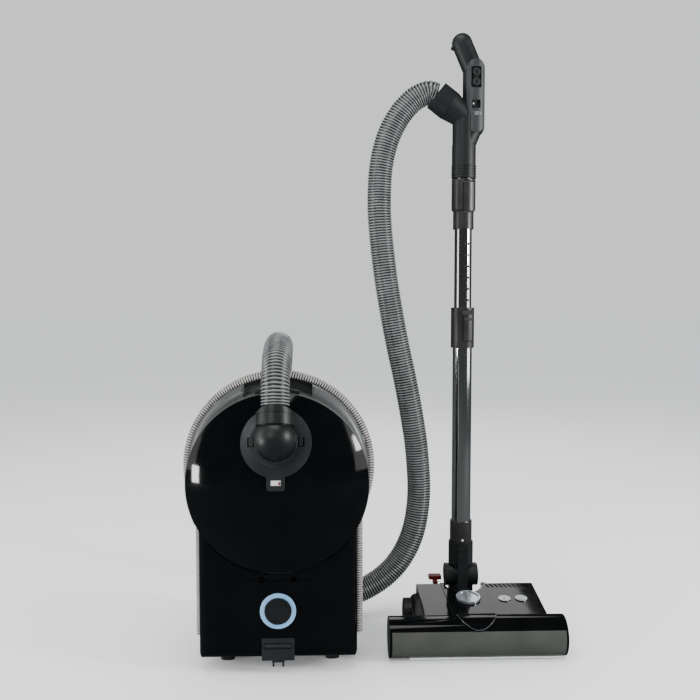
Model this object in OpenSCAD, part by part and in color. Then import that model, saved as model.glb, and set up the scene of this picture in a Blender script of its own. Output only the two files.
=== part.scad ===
// Canister vacuum cleaner: the canister stands on its rear end, with the wand and power head parked beside it.
// Units are millimetres. +X is to the right, +Y points away from the front and +Z is up.

/* [Canister body] */
// Radius of the body's round front end, inside the bumper
front_r = 151; // [140:0.5:185]
// Height of the round front end's centre
front_z = 336.5; // [300:0.5:410]
// Half the width between the body's straight sides
half_w = 131; // [118:0.5:140]
// Height of the body's rear end above the floor
rear_z = 24; // [20:0.5:30]
// Depth of the base shell behind the seam
base_depth = 100; // [92:0.5:120]
// Depth of the rear cover in front of the seam
cover_depth = 66; // [58:0.5:80]
// Wall thickness of the body shells
wall = 3; // [2:0.1:3.5]
// Radius of the rounded edge of the base shell
base_edge = 20; // [12:0.5:24]
// Radius of the rounded edge of the rear cover
cover_edge = 18; // [12:0.5:24]
// Thickness of the bumper band
bumper_t = 11.3; // [8:0.1:14]
// Width of the bumper band, front to back
bumper_w = 32; // [20:0.5:33]
// Height where the bumper's straight sides end
bumper_end_z = 47; // [40:0.5:60]

/* [Lid and hose port] */
// Radius of the domed lid
lid_r = 149.5; // [140:0.5:150]
// Height of the lid's centre
lid_z = 317; // [312:0.5:322]
// Rise of the dome above its rim
lid_rise = 50; // [40:0.5:60]
// Wall thickness of the lid
lid_wall = 3; // [2:0.1:4]
// Radius of the dust chamber's opening
chamber_r = 140; // [125:0.5:140]
// Distance of the hose port from the lid's axis
port_up = 76; // [65:0.5:80]
// Radius of the collar plate round the port
collar_r = 56.5; // [50:0.5:60]
// Radius of the elbow's ball
ball_r = 33; // [30:0.5:35]
// Bore of the elbow and of the handle's hose socket
air_r = 20; // [16:0.5:21]

/* [Canister wheels and switch] */
// Radius of the rear wheels
wheel_r = 50; // [40:0.5:52]
// Width of the rear wheels
wheel_w = 22; // [16:0.5:24]
// Radius of the front caster wheels
caster_r = 10; // [8:0.5:10]
// Distance of each caster pivot from the middle
caster_x = 80; // [72:0.5:84]
// Height of the foot switch's centre
switch_z = 107; // [100:0.5:115]
// Radius of the foot switch button
button_r = 22; // [18:0.5:24]

/* [Hose] */
// Outside diameter of the hose
hose_d = 46; // [40:0.5:48]

/* [Wand] */
// Distance of the wand from the canister's middle
wand_gap = 340; // [335:1:420]
// Distance of the wand behind the bumper's middle plane
wand_back = 166; // [160:1:180]
// Outside radius of the sliding upper tube
upper_r = 16.2; // [15:0.1:16.8]
// Outside radius of the lower tube
lower_r = 18.2; // [17.9:0.1:19]
// Wall thickness of the upper tube
tube_wall = 1.4; // [1:0.1:2]
// Height of the telescopic sleeve's top
sleeve_top = 602; // [560:1:640]
// Height of the telescopic sleeve
sleeve_h = 76; // [70:1:90]
// Height of the handle's lower end
handle_z = 843; // [820:1:880]
// Distance between two detent notches
notch_pitch = 21; // [18:0.5:24]
// Turn of the wand's buttons towards the right
wand_turn = 17; // [0:1:25]
// Height of the neck's tilt axis
tilt_z = 88; // [86:0.5:92]

/* [Power head] */
// Width of the round nose
nose_w = 306; // [280:1:306]
// Radius of the round nose
nose_r = 35; // [34:0.5:36]
// Distance of the nose's axis in front of the bumper's middle plane
nose_front = 5; // [0:0.5:8]
// Height of the cover's rear crest
crest_z = 77.7; // [74:0.1:80]
// Radius of the height knob
knob_r = 22; // [18:0.5:23]
// Number of ventilation slots
vent_count = 10; // [4:1:10]

/* [Hidden] */
$fn = 64;

eps = 1;                  // how far a cut runs past the face it opens
slip = 0.3;               // gap between neighbours that move past each other
fit = 0.05;               // radial clearance of a shaft in its bore
skin_gap = 0.1;           // gap between two skins that lie on each other
rear_corner = 12;

// The object's middle sits over the origin
total_w = front_r + bumper_t + wand_gap + nose_w / 2;
can_x = front_r + bumper_t - total_w / 2;
wand_x = can_x + wand_gap;
dome_r = (lid_r * lid_r + lid_rise * lid_rise) / (2 * lid_rise);
lid_y = -cover_depth - slip;
dome_y = lid_y - lid_rise + dome_r;
port_tilt = asin(port_up / dome_r);
port_out = [0, -cos(port_tilt), sin(port_tilt)];
port_along = [0, sin(port_tilt), cos(port_tilt)];
port_at = [0, dome_y, lid_z] + dome_r * port_out;
elbow_h = 34;             // height of the elbow's ball over the port
elbow_at = port_at + elbow_h * port_out;
tail_r = 33.5;            // round tail of the head's base, under the neck
pedal_back = 37;          // the pedal's rear edge behind the neck's axis
can_y = -(elbow_at[1] - ball_r + wand_back + pedal_back) / 2;

// Canister details
frame_depth = 40;         // front ledge of the top frame, in front of the seam
frame_edge = 14;
split_z = lid_z - 67;     // where the top frame meets the rear cover
partition_z = lid_z - chamber_r - wall;
crown_w = 115;
crown_t = 1.6;
recess_w = 57;            // half the width of the finger recess
recess_back = 6;          // the recess stops this far in front of the seam
grip_t = 5.9;
latch_w = 36;
latch_t = 5;
hinge_in = 5;             // the lid's hinge axis lies this far under the cover's surface
hinge_z = lid_z - lid_r - 4.5;
hinge_y = -cover_depth + hinge_in;
hinge_x = 22;
lug_w = 8;
hinge_pin_r = 1.5;
wheel_y = base_depth - 24;
wheel_z = 85;
well_x = 103;
well_gap = 3;
axle_r = 4;
floor_y = base_depth - wall;
caster_z = front_z + 78.5;
caster_trail = 12;
caster_y = wheel_y + wheel_r - caster_r;
pivot_r = 5;
motor_x = -40;
motor_y = 8;
housing_r = 52;
reel_x = 30;
reel_w = 44;
reel_y = 12;
reel_z = 112;
reel_r = 56;
spindle_r = 6;
lever_w = 27;
lever_top = 61;
lever_axis_y = -cover_depth + 4;
ring_w = 7.6;

// Hose port details
elbow_foot_r = 34;
elbow_stem_r = 29;
sleeve_end = 50;          // the sleeve's end is round about the elbow's swivel axis
hose_lap = 0.5;
collar_t = 3.5;
tab_w = 14.5;
tab_end = 76;
window_y = 64;
clip_x = 36;

// Wand details
handle_x = 17.5;          // the grip body stands to the right of the tube
body_r = 20.5;
body_low = 940;
body_high = 1040;
grip_top = 1092;
branch_angle = 38;
branch_l = 66;
branch_z = 957;
panel_r = 22.4;
panel_x = 18.75;
panel_half = 17.2;
panel_low = 926;
panel_high = 1060;
rocker_z = 1026.5;
switch_x = 15.2;
switch_h = 13;
brush_z = 977.5;
sleeve_r = lower_r + 3.7;
slider_in = lower_r + 1.4;      // back face of the telescope slider
neck_r = 23.5;
neck_top = 153;
neck_low = 110.5;
tongue_w = 15;
tongue_r = 21.5;
yoke_gap = 0.4;
yoke_w = 31;
disc_r = 29;
disc_z = 26.3;
disc_top = 38;
spigot_r = 10;

// Power head details
nose_y = -nose_front;
nose_z = nose_r;
nose_wall = 3;
seam_angle = 57;          // gloss meets satin this far round from the nose's top
lip_front = 148;
lip_rear = 140;
cover_left = -88;
cover_right = 132;
cover_front = 20;
cover_front_z = 59.2;
crest_y = 138;
crest_r = 12;
base_top = 33.8;
slope = atan((crest_z - cover_front_z) / (crest_y - cover_front));
crest_axis_z = cover_front_z + (crest_y - cover_front) * tan(slope) - crest_r / cos(slope);
well_w = 33;
well_front = 104;
knob_y = 80;
light_x = [67, 98];
light_r = 11;
motor_axis_y = 85;
brush_z0 = 28;
brush_r = 25;
belt_x = -98;
belt_w = 7;
pulley_r = 12;
motor_pulley_r = 8;
head_wheel_r = 9;
head_wheel_y = wand_back - 6;
pedal_x = -58;
pedal_axis_y = wand_back + 12;
pedal_axis_z = 24;

// The hose's route in the canister's own frame: over the front end, down behind it and up to the handle
hose_route = concat(
    [elbow_at + (sleeve_end + hose_lap) * port_along],
    [
        [0, -111, 488], [0, -86, 518], [0, -45, 535], [0, 2, 540], [0, 48, 536], [-2, 92, 521],
        [-5, 126, 490], [-9, 146, 444], [-16, 154, 392], [-26, 158, 335], [-36, 162, 275],
        [-42, 165, 215], [-40, 168, 158], [-24, 171, 105], [10, 174, 64], [58, 177, 43], [110, 180, 42],
        [160, 184, 57], [212, 186, 96], [245, 186, 152], [260, 186, 228], [256, 185, 326],
        [246, 184, 394], [233, 182, 462], [218, 180, 530], [205, 178, 597], [194, 176, 663],
        [186, 174, 729], [182, 172, 778], [182, 172, 823], [185, 171, 866], [194, 170, 908],
        [208, 169, 942], [227, 168, 971], [249, 167, 992]
    ],
    [[wand_gap, wand_back, branch_z] + (branch_l + 16) * [-cos(branch_angle), 0, sin(branch_angle)]
        + [-3, 0, -6]],
    [[wand_gap, wand_back, branch_z] + branch_l * [-cos(branch_angle), 0, sin(branch_angle)]]
);
hose_sides = 12;

function unit(v) = v / norm(v);
function hose_way(i) =
    i == 0 ? port_along
    : i == len(hose_route) - 1 ? [cos(branch_angle), 0, -sin(branch_angle)]
    : unit(unit(hose_route[i + 1] - hose_route[i]) + unit(hose_route[i] - hose_route[i - 1]));
function across(u, way) = unit(u - (u * way) * way);

// Placing helpers
module at_canister() {
    translate([can_x, can_y, 0]) children();
}

module at_wand() {
    translate([wand_x, can_y + wand_back, 0]) children();
}

module at_head() {
    translate([wand_x, can_y, 0]) children();
}

module at_port() {
    at_canister() translate(port_at) rotate([90 - port_tilt, 0, 0]) children();
}

// The point of the power head's cover at x and y, with local z square to the sloping skin
module at_slope(x, y) {
    at_head() translate([x, y, cover_front_z + (y - cover_front) * tan(slope)]) rotate([slope, 0, 0]) children();
}

// A drawing in the X-Z plane, made solid from y onwards
module plate_y(y, depth) {
    translate([0, y + depth, 0]) rotate([90, 0, 0]) linear_extrude(depth) children();
}

// A drawing in the Y-Z plane, made solid from x onwards
module plate_x(x, width) {
    translate([x, 0, 0]) rotate([90, 0, 90]) linear_extrude(width) children();
}

module rod_x(x, length, r) {
    translate([x, 0, 0]) rotate([0, 90, 0]) cylinder(h = length, r = r);
}

module rod_y(y, length, r) {
    translate([0, y, 0]) rotate([-90, 0, 0]) cylinder(h = length, r = r);
}

module box(low, high) {
    translate(low) cube(high - low);
}

module mirrored() {
    children();
    mirror([1, 0, 0]) children();
}

module rounded_rect(w, h, r) {
    translate([r, 0]) square([w - 2 * r, h]);
    translate([0, r]) square([w, h - 2 * r]);
    for (x = [r, w - r]) for (y = [r, h - r]) translate([x, y]) circle(r = r);
}

// A rod with round ends between two points of the X-Z plane
module capsule(from, to, r) {
    way = to - from;
    translate([from[0], 0, from[1]]) sphere(r = r);
    translate([to[0], 0, to[1]]) sphere(r = r);
    translate([from[0], 0, from[1]]) rotate([0, atan2(way[0], way[1]), 0]) cylinder(h = norm(way), r = r);
}

// ---- Canister ----

module body_outline(inset) {
    translate([0, front_z]) circle(r = front_r - inset);
    translate([-half_w + inset, rear_z + inset])
        rounded_rect(2 * (half_w - inset), front_z - rear_z - inset, rear_corner - inset);
}

module edge_profile(r, depth, edge) {
    square([r - edge, depth]);
    square([r, depth - edge]);
    translate([r - edge, depth - edge]) circle(r = edge);
}

// The body outline carried back by a depth, with a rounded rear edge
module deep_body(inset, depth, edge) {
    intersection() {
        union() {
            translate([0, 0, front_z]) rotate([-90, 0, 0]) rotate_extrude()
                edge_profile(front_r - inset, depth, edge);
            translate([0, 0, rear_z]) linear_extrude(front_z - rear_z) mirrored()
                edge_profile(half_w - inset, depth, edge);
        }
        plate_y(0, depth) body_outline(inset);
    }
}

module at_casters() {
    for (side = [-1, 1]) translate([side * caster_x, 0, caster_z]) children();
}

module base_shell() {
    color("#24272a") at_canister() difference() {
        union() {
            difference() {
                deep_body(0, base_depth, base_edge);
                translate([0, -eps, 0]) deep_body(wall, floor_y + eps, base_edge);
            }
            intersection() {
                deep_body(0, base_depth, base_edge);
                union() {
                    mirrored() translate([0, wheel_y, wheel_z])
                        rod_x(well_x - wall, half_w, wheel_r + well_gap + wall);
                    box([-half_w, 0, partition_z], [half_w, base_depth, partition_z + wall]);
                    at_casters() rod_y(floor_y - 10, 11, pivot_r + 4);
                }
            }
            mirrored() translate([0, wheel_y, wheel_z]) rod_x(well_x - 1, wheel_w, axle_r);
            translate([0, reel_y, reel_z]) rod_x(reel_x - 3, well_x - reel_x, spindle_r);
            box([well_x - 6, reel_y - 8, reel_z - 8], [well_x - 1.5, floor_y + 1, reel_z + 8]);
        }
        mirrored() translate([0, wheel_y, wheel_z]) difference() {
            rod_x(well_x, half_w, wheel_r + well_gap);
            rod_x(well_x - eps, wheel_w + eps - 1, axle_r);
        }
        at_casters() rod_y(floor_y - 8, 20, pivot_r + fit);
        translate([motor_x, motor_y, partition_z - eps]) cylinder(h = wall + 2 * eps, r = 26);
        for (k = [0:7]) box([32, floor_y - eps, 70 + 11 * k], [86, base_depth + eps, 74 + 11 * k]);
    }
}

// Front frame round the lid, with the ledge that holds the latch and the finger recess
module top_frame() {
    color("#4a4f50") at_canister() difference() {
        union() {
            difference() {
                union() {
                    translate([0, 0, front_z]) rotate([90, 0, 0]) rotate_extrude()
                        edge_profile(front_r, frame_depth, frame_edge);
                    plate_y(-bumper_w / 2 - eps, bumper_w / 2 + eps) body_outline(0);
                }
                translate([0, 0, front_z]) rotate([90, 0, 0]) translate([0, 0, -eps]) rotate_extrude()
                    edge_profile(front_r - wall, frame_depth - wall + eps, frame_edge);
                box([-half_w + wall, -frame_depth + wall, 0], [half_w - wall, eps, front_z]);
            }
            plate_y(-cover_depth, cover_depth - bumper_w / 2 - eps) translate([0, lid_z]) circle(r = lid_r + 1);
            plate_y(-frame_depth + eps, frame_depth - 3 - eps) intersection() {
                translate([0, front_z]) circle(r = front_r - wall + 0.5);
                translate([-recess_w - 4, lid_z + chamber_r - 20]) square([2 * recess_w + 8, 80]);
            }
        }
        plate_y(-cover_depth - eps, cover_depth + 2 * eps) translate([0, lid_z]) circle(r = chamber_r);
        plate_y(-frame_depth - eps, frame_depth + eps - recess_back) recess_outline(front_r + eps);
        plate_y(-recess_back - eps, recess_back + 2 * eps) difference() {
            recess_outline(front_r + eps);
            translate([0, front_z]) circle(r = front_r - grip_t - 0.3);
        }
        box([-front_r, -cover_depth - eps, 0], [front_r, eps, split_z]);
    }
}

module recess_outline(outer) {
    intersection() {
        difference() {
            translate([0, front_z]) circle(r = outer);
            translate([0, lid_z]) circle(r = lid_r + 1);
        }
        translate([-recess_w, lid_z]) square([2 * recess_w, 2 * front_r]);
    }
}

module cover_block(inset, bottom) {
    intersection() {
        translate([0, 0, rear_z]) linear_extrude(split_z - rear_z) mirrored() mirror([0, 1, 0])
            edge_profile(half_w - inset, cover_depth - inset, cover_edge);
        plate_x(-half_w, 2 * half_w) mirror([1, 0]) union() {
            translate([-eps, bottom]) square([cover_depth + eps - inset - cover_edge, split_z]);
            translate([-eps, bottom + cover_edge]) square([cover_depth + eps - inset, split_z]);
            translate([cover_depth - inset - cover_edge, bottom + cover_edge]) circle(r = cover_edge);
        }
        plate_y(-cover_depth, cover_depth) body_outline(inset);
    }
}

module rear_cover() {
    color("#0c0e10") at_canister() difference() {
        union() {
            difference() {
                cover_block(0, rear_z);
                translate([0, eps, 0]) cover_block(wall, rear_z + wall);
                box([-half_w + wall, -cover_depth + wall + cover_edge, partition_z], [half_w - wall, eps, split_z + eps]);
                box([-half_w + cover_edge, -cover_depth + wall, partition_z], [half_w - cover_edge, eps, split_z + eps]);
            }
            intersection() {
                cover_block(0, rear_z);
                box([-half_w, -cover_depth, partition_z], [half_w, 0, partition_z + wall]);
            }
            plate_y(-cover_depth - crown_t, crown_t) difference() {
                translate([-crown_w, rear_z + 17]) rounded_rect(2 * crown_w, split_z, 32);
                translate([0, lid_z]) circle(r = lid_r + slip);
            }
            mirrored() box([hinge_x - 5, -cover_depth + 1, hinge_z - 6], [hinge_x + lug_w + 5, hinge_y + 6, partition_z + 1]);
        }
        plate_y(-cover_depth - eps, cover_depth + 2 * eps) intersection() {
            translate([0, lid_z]) circle(r = chamber_r);
            translate([-front_r, partition_z + wall]) square([2 * front_r, split_z]);
        }
        mirrored() box([hinge_x - 0.5, -cover_depth - 4, hinge_z - 4.2],
            [hinge_x + lug_w + 0.5, hinge_y + 4.2, hinge_z + 9.7]);
        mirrored() box([hinge_x - 0.5, -cover_depth - 4, hinge_z - 8], [hinge_x + lug_w + 0.5, -cover_depth + 2, hinge_z]);
        box([-60, -cover_depth - 4, hinge_z - 6], [60, -cover_depth - slip, hinge_z + 9.7]);
        mirrored() translate([0, hinge_y, hinge_z]) rod_x(hinge_x - 4 - fit, lug_w + 8 + 2 * fit, hinge_pin_r + 0.02);
        translate([0, 0, switch_z]) rod_y(-cover_depth - 10, 30, button_r + ring_w + skin_gap);
        box([-lever_w - 0.4, -cover_depth - 10, 0], [lever_w + 0.4, lever_axis_y + 6, lever_top + 0.5]);
        translate([0, -40, rear_z - eps]) cylinder(h = wall + 2 * eps, r = 9 + fit);
    }
}

module dust_lid() {
    color("#0c0e10") at_canister() difference() {
        union() {
            intersection() {
                translate([0, dome_y, lid_z]) difference() {
                    sphere(r = dome_r, $fn = 200);
                    sphere(r = dome_r - lid_wall, $fn = 200);
                }
                translate([0, 0, lid_z]) rod_y(lid_y - lid_rise - eps, lid_rise + eps, lid_r);
            }
            mirrored() plate_x(hinge_x, lug_w) {
                translate([hinge_y, hinge_z]) circle(r = 3.6);
                translate([hinge_y - 3.6, hinge_z]) square([4.6, 6]);
                translate([lid_y - 1.5, hinge_z + 3]) square([-lid_y + hinge_y + 2.5, 5.6]);
            }
        }
        mirrored() translate([0, hinge_y, hinge_z]) rod_x(hinge_x - eps, lug_w + 2 * eps, hinge_pin_r + fit);
        translate([0, dome_y, lid_z]) rotate([90 - port_tilt, 0, 0]) cylinder(h = dome_r + 5, r = 30);
    }
}

module lid_hinge_pin() {
    color("#b9bcbd") at_canister() mirrored() translate([0, hinge_y, hinge_z])
        rod_x(hinge_x - 4, lug_w + 8, hinge_pin_r);
}

module lid_latch() {
    color("#3a3f40") at_canister() plate_y(-cover_depth + 6, cover_depth - frame_depth - 7.5) intersection() {
        translate([0, lid_z]) difference() {
            circle(r = lid_r + 1.4 + latch_t);
            circle(r = lid_r + 1.4);
        }
        translate([-latch_w, lid_z]) square([2 * latch_w, 2 * lid_r]);
    }
}

module carry_handle() {
    color("#1b1d1f") at_canister() plate_y(-bumper_w / 2 + 0.2, bumper_w / 2 - 0.3) intersection() {
        translate([0, front_z]) difference() {
            circle(r = front_r);
            circle(r = front_r - grip_t);
        }
        translate([-recess_w + 0.3, lid_z]) square([2 * recess_w - 0.6, 2 * front_r]);
    }
}

module bumper_band() {
    color("#b8b4ae") at_canister() plate_y(-bumper_w / 2, bumper_w) difference() {
        body_outline(-bumper_t);
        body_outline(0);
        translate([-front_r - 20, 0]) square([2 * front_r + 40, bumper_end_z]);
    }
}

module dust_bag() {
    color("#d9cfb8") difference() {
        union() {
            at_canister() translate([0, -62, lid_z - 5]) rotate([-90, 0, 0]) {
                rotate_extrude() edge_profile(118, 130, 30);
                translate([0, 0, -18]) cylinder(h = 20, r = 88);
            }
            at_port() translate([0, 0, -46]) cylinder(h = 23.5, r = 22);
        }
        at_port() translate([0, 0, -24.5]) cylinder(h = 30, r = 25);
    }
}

module bag_collar() {
    color("#c9b48c") difference() {
        at_port() translate([-42, -42, -22]) cube([84, 84, 3]);
        at_port() translate([0, 0, -30]) cylinder(h = 20, r = 26.5);
    }
}

module motor_filter() {
    color("#dfe3e4") at_canister() translate([0, 0, partition_z + wall + slip]) difference() {
        box([motor_x - 38, motor_y - 42, 0], [motor_x + 38, motor_y + 42, 9]);
        for (k = [-3:3]) box([motor_x - 33, motor_y + 11 * k - 3, 4], [motor_x + 33, motor_y + 11 * k + 3, 10]);
    }
}

module motor_housing() {
    color("#2c2f31") at_canister() difference() {
        union() {
            translate([motor_x, motor_y, 56]) cylinder(h = 110, r = housing_r);
            box([motor_x - 24, motor_y, 80], [motor_x + 24, floor_y - skin_gap, 140]);
        }
        translate([motor_x, motor_y, 55]) cylinder(h = 108, r = housing_r - 2.5);
        translate([motor_x, motor_y, 150]) cylinder(h = 20, r = 26);
    }
}

module fan_motor() {
    color("#8d9295") at_canister() translate([motor_x, motor_y, 0]) {
        translate([0, 0, 62]) cylinder(h = 64, r = 38);
        translate([0, 0, 100]) cylinder(h = 24, r = housing_r - 2.6);
        translate([0, 0, 120]) cylinder(h = 34, r = axle_r);
    }
}

module impeller() {
    color("#b9bcbd") at_canister() translate([motor_x, motor_y, 130]) difference() {
        union() {
            cylinder(h = 2, r = 44);
            cylinder(h = 14, r = 9);
            for (k = [0:8]) rotate([0, 0, 40 * k]) translate([6, -1, 0]) cube([36, 2, 12]);
        }
        translate([0, 0, -eps]) cylinder(h = 20, r = axle_r + fit);
    }
}

module exhaust_filter() {
    color("#dfe3e4") at_canister() difference() {
        box([22, floor_y - 20, 60], [94, floor_y - skin_gap, 164]);
        for (k = [0:8]) box([26, floor_y - 21, 66 + 11 * k], [90, floor_y - 6, 70 + 11 * k]);
    }
}

module cable_reel() {
    color("#3a3f40") at_canister() translate([0, reel_y, reel_z]) difference() {
        union() {
            rod_x(reel_x, 3, reel_r);
            rod_x(reel_x, reel_w, 26);
            rod_x(reel_x + reel_w - 3, 3, reel_r);
        }
        rod_x(reel_x - eps, reel_w + 2 * eps, spindle_r + fit);
    }
}

module switch_button() {
    color("#3a4044") at_canister() translate([0, 0, switch_z]) {
        difference() {
            rod_y(-cover_depth - 5.5, 9, button_r);
            rod_y(-cover_depth - 6.5, 1.8, button_r - 4);
        }
        rod_y(-cover_depth, 14, 7);
    }
}

module light_ring() {
    color("#7aa3c6") at_canister() translate([0, 0, switch_z]) difference() {
        rod_y(-cover_depth - 3.4, 8, button_r + ring_w);
        rod_y(-cover_depth - 5, 12, button_r + slip);
    }
}

// Rewind pedal with its finger bar and the two-pronged plug rest below it
module rewind_lever() {
    color("#3a3f40") at_canister() {
        difference() {
            box([-lever_w, -cover_depth - 3.2, rear_z], [lever_w, -cover_depth, lever_top]);
            box([-lever_w + 4, -cover_depth - 4, rear_z + 19], [lever_w - 4, -cover_depth - 1.6, rear_z + 30]);
        }
        translate([0, -cover_depth - 3, rear_z + 24]) rod_x(-lever_w + 5, 2 * lever_w - 10, 3);
        plate_y(-cover_depth - 1.2, 2.4) {
            translate([-10.3, rear_z - 4]) square([20.6, 5]);
            mirrored() translate([6.6, rear_z - 10]) square([3, 8]);
        }
        mirrored() translate([8.1, -cover_depth, rear_z - 10]) sphere(r = 1.9);
    }
}

module cord_grommet() {
    color("#1b1d1f") at_canister() translate([0, -40, rear_z]) difference() {
        union() {
            translate([0, 0, -3]) cylinder(h = 3, r = 11);
            translate([0, 0, -3]) cylinder(h = 8, r = 9);
        }
        translate([0, 0, -4]) cylinder(h = 12, r = 4);
    }
}

module canister_wheel(side) {
    color("#1b1d1f") at_canister() mirror([side < 0 ? 1 : 0, 0, 0]) translate([well_x + 2.4, wheel_y, wheel_z]) difference() {
        rotate([0, 90, 0]) rotate_extrude() {
            square([wheel_r, wheel_w - 4]);
            square([wheel_r - 4, wheel_w]);
            translate([wheel_r - 4, wheel_w - 4]) circle(r = 4);
        }
        rod_x(-eps, wheel_w - 2, axle_r + fit);
        rod_x(wheel_w - 1.5, 4, wheel_r - 12);
    }
}

module wheel_left() {
    canister_wheel(-1);
}

module wheel_right() {
    canister_wheel(1);
}

module caster_fork(side) {
    color("#3a3f40") at_canister() translate([side * caster_x, 0, caster_z]) {
        rod_y(floor_y - 7, 11, pivot_r);
        difference() {
            rod_y(base_depth + 0.5, 4, 14);
            rod_y(base_depth + 3.5, 4, 8);
        }
        mirrored() plate_x(8.2, 3) {
            translate([base_depth + 2, -caster_trail - 4]) square([4, caster_trail + 10]);
            translate([base_depth + 4, -caster_trail - 4]) square([caster_y - base_depth - 4, 8]);
            translate([caster_y, -caster_trail]) circle(r = 5);
        }
        translate([0, caster_y, -caster_trail]) rod_x(-9, 18, 2.5);
    }
}

module caster_fork_left() {
    caster_fork(-1);
}

module caster_fork_right() {
    caster_fork(1);
}

module caster_wheel(side) {
    color("#8b8f90") at_canister() translate([side * caster_x, caster_y, caster_z - caster_trail]) difference() {
        rod_x(-7.5, 15, caster_r);
        rod_x(-9, 18, 2.5 + fit);
    }
}

module caster_wheel_left() {
    caster_wheel(-1);
}

module caster_wheel_right() {
    caster_wheel(1);
}

module stand_feet() {
    color("#1b1d1f") at_canister() mirrored() translate([78, -10, 0]) linear_extrude(rear_z)
        rounded_rect(24, 88, 8);
}

// ---- Hose port, in the frame whose z axis is the elbow's swivel axis ----

module port_skin(inner, outer) {
    translate([0, 0, -dome_r]) difference() {
        sphere(r = dome_r + outer);
        sphere(r = dome_r + inner);
    }
}

module elbow_collar() {
    color("#3a3f40") at_port() difference() {
        union() {
            intersection() {
                port_skin(skin_gap, collar_t);
                union() {
                    translate([0, 0, -20]) cylinder(h = 40, r = collar_r);
                    translate([-tab_w, -tab_end, -20]) linear_extrude(40) rounded_rect(2 * tab_w, 40, 4);
                }
            }
            difference() {
                translate([0, 0, -6]) cylinder(h = 9, r = elbow_foot_r + 7);
                translate([0, 0, -dome_r]) sphere(r = dome_r + skin_gap);
            }
            translate([0, 0, -5]) cylinder(h = 5.2, r = 29.7);
            translate([0, 0, -24]) cylinder(h = 24, r = 24);
        }
        translate([0, 0, -30]) cylinder(h = 60, r = air_r + 1);
        translate([0, 0, 0]) cylinder(h = 20, r = elbow_foot_r + 0.4);
        mirrored() translate([clip_x - 2, -7.6, -8]) cube([11, 15.2, 20]);
        translate([-8.1, -window_y - 4.1, -20]) cube([16.2, 8.2, 40]);
    }
}

module indicator_window() {
    color("#e8e4df") at_port() intersection() {
        port_skin(skin_gap, collar_t - 0.6);
        translate([-8, -window_y - 4, -20]) cube([16, 8, 40]);
    }
}

module hose_elbow() {
    color("#2f3334") at_port() difference() {
        union() {
            translate([0, 0, slip]) cylinder(h = 2.8, r = elbow_foot_r);
            translate([0, 0, slip]) cylinder(h = elbow_h - slip, r = elbow_stem_r);
            translate([0, 0, elbow_h]) sphere(r = ball_r);
            translate([0, 0, elbow_h]) rod_y(0, 40, 27);
        }
        translate([0, 0, -eps]) cylinder(h = elbow_h, r = air_r);
        translate([0, 0, elbow_h]) sphere(r = air_r);
        translate([0, 0, elbow_h]) rod_y(0, 42, air_r);
    }
}

module elbow_clip(side) {
    color("#3a3f40") at_port() mirror([side < 0 ? 1 : 0, 0, 0]) difference() {
        translate([clip_x, -7, -6]) cube([6.6, 14, 10]);
        translate([0, 0, -dome_r]) sphere(r = dome_r + 0.6, $fn = 200);
    }
}

module elbow_clip_left() {
    elbow_clip(-1);
}

module elbow_clip_right() {
    elbow_clip(1);
}

module hose_sleeve() {
    color("#2f3334") at_port() intersection() {
        translate([0, 0, elbow_h]) difference() {
            union() {
                translate([0, 20, 0]) rotate([-90, 0, 0]) cylinder(h = 32, r1 = 30, r2 = 28.4);
                rod_y(38, 3, 30.2);
            }
            rod_y(19, 21.2, 27 + skin_gap);
            rod_y(30, 40, air_r);
            sphere(r = ball_r + skin_gap);
            translate([0, 0, -elbow_h]) cylinder(h = elbow_h, r = elbow_stem_r + skin_gap);
        }
        cylinder(h = 100, r = sleeve_end);
    }
}

// ---- Hose ----

module hose() {
    turns = [for (i = 0, u = across([1, 0, 0], hose_way(0)); i < len(hose_route);
        i = i + 1, u = i < len(hose_route) ? across(u, hose_way(i)) : u) u];
    points = [for (i = [0:len(hose_route) - 1]) for (k = [0:hose_sides - 1])
        hose_route[i] + hose_d / 2 * (cos(360 * k / hose_sides) * turns[i]
            + sin(360 * k / hose_sides) * cross(hose_way(i), turns[i]))];
    last = (len(hose_route) - 1) * hose_sides;
    sides = [for (i = [0:len(hose_route) - 2]) for (k = [0:hose_sides - 1]) let (n = (k + 1) % hose_sides)
        [i * hose_sides + k, (i + 1) * hose_sides + k, (i + 1) * hose_sides + n, i * hose_sides + n]];
    ends = [[for (k = [0:hose_sides - 1]) k], [for (k = [0:hose_sides - 1]) last + hose_sides - 1 - k]];
    color("#6f787a") at_canister() polyhedron(points, concat(sides, ends), convexity = 6);
}

// ---- Wand ----

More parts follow.
